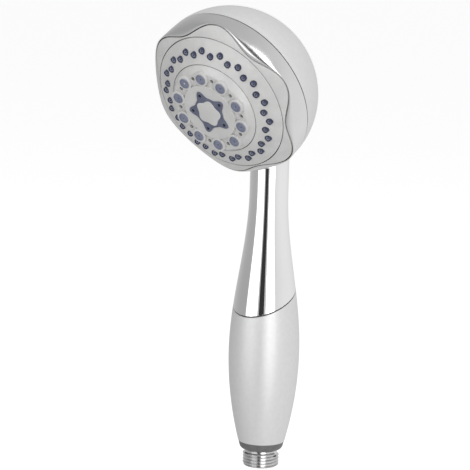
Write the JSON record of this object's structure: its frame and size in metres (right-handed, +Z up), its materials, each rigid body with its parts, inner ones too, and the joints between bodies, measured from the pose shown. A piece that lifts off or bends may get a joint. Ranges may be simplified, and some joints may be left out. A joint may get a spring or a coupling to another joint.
{
  "type": "handheld shower head",
  "caption": "Handheld shower head with a bulbous grip, slim neck and domed head; a scalloped ring round the spray face turns to choose the spray.",
  "frame": {"origin": "centre of the threaded hose inlet's end face", "axes": "+Z up along the handle, +X to the right of someone facing the spray face, the spray face looks towards -Y tipped 27.4 degrees down"},
  "size_m": [0.0958, 0.0877, 0.2659],
  "materials": {
    "satin_silver": "matt chromed, fine satin",
    "chrome": "bright chrome plating",
    "ring_chrome": "pearl chrome plating, softly glossy",
    "thread_chrome": "chrome-plated brass thread",
    "dark_seam": "dark elastomer seam",
    "dark_grey": "dark grey moulded plastic, fine satin",
    "face_grey": "warm light grey moulded plastic",
    "nozzle_rubber": "slate blue silicone",
    "nozzle_rubber_light": "slate blue silicone",
    "star_slate": "dark slate silicone",
    "white_plastic": "natural plastic",
    "inner_plastic": "glass-filled plastic",
    "green_plastic": "green plastic",
    "rotor_acetal": "ivory acetal",
    "black_rubber": "nitrile rubber",
    "spring_steel": "stainless steel",
    "brass": "turned brass"
  },
  "bodies": {
    "handset": {"back_shell": "satin_silver", "glide_ring": "dark_seam", "neck_sleeve": "chrome", "neck_gasket": "dark_seam", "grip_sleeve": "satin_silver", "end_ring": "dark_grey", "inlet_connector": "thread_chrome", "retaining_clip": "spring_steel", "inlet_filter": "white_plastic", "flow_limiter": "green_plastic", "limiter_oring": "black_rubber", "water_tube": "white_plastic", "tube_orings": "black_rubber", "inlet_elbow": "inner_plastic", "elbow_oring": "black_rubber", "elbow_screws": "spring_steel", "water_chamber": "inner_plastic", "chamber_screws": "spring_steel", "spray_base": "inner_plastic", "spray_face": "face_grey", "rim_nozzle_mat": "nozzle_rubber", "inner_disc": "face_grey", "disc_nozzle_mat": "nozzle_rubber_light", "star_insert": "star_slate", "centre_cap": "face_grey", "centre_screw": "spring_steel", "screw_washer": "spring_steel", "detent_spring": "spring_steel"},
    "selector": {"selector_ring": "ring_chrome", "trim_ring": "face_grey", "diverter_rotor": "rotor_acetal", "rotor_orings": "black_rubber", "port_seal": "black_rubber"},
    "detent": {"detent_plunger": "brass"}
  },
  "joints": [
    {"name": "spray_selector", "type": "hinge", "parent": "handset", "child": "selector", "pos_m": [0, -0.05626, 0.20818], "axis": [0, -0.8878, -0.4602], "range_deg": [-60, 60]},
    {"name": "detent_travel", "type": "slide", "parent": "handset", "child": "detent", "axis": [0, -0.8878, -0.4602], "range_m": [0, 0.0008], "stiffness_N_per_m": 500, "springref_m": 0.003, "deforming": ["detent_spring"]}
  ]
}
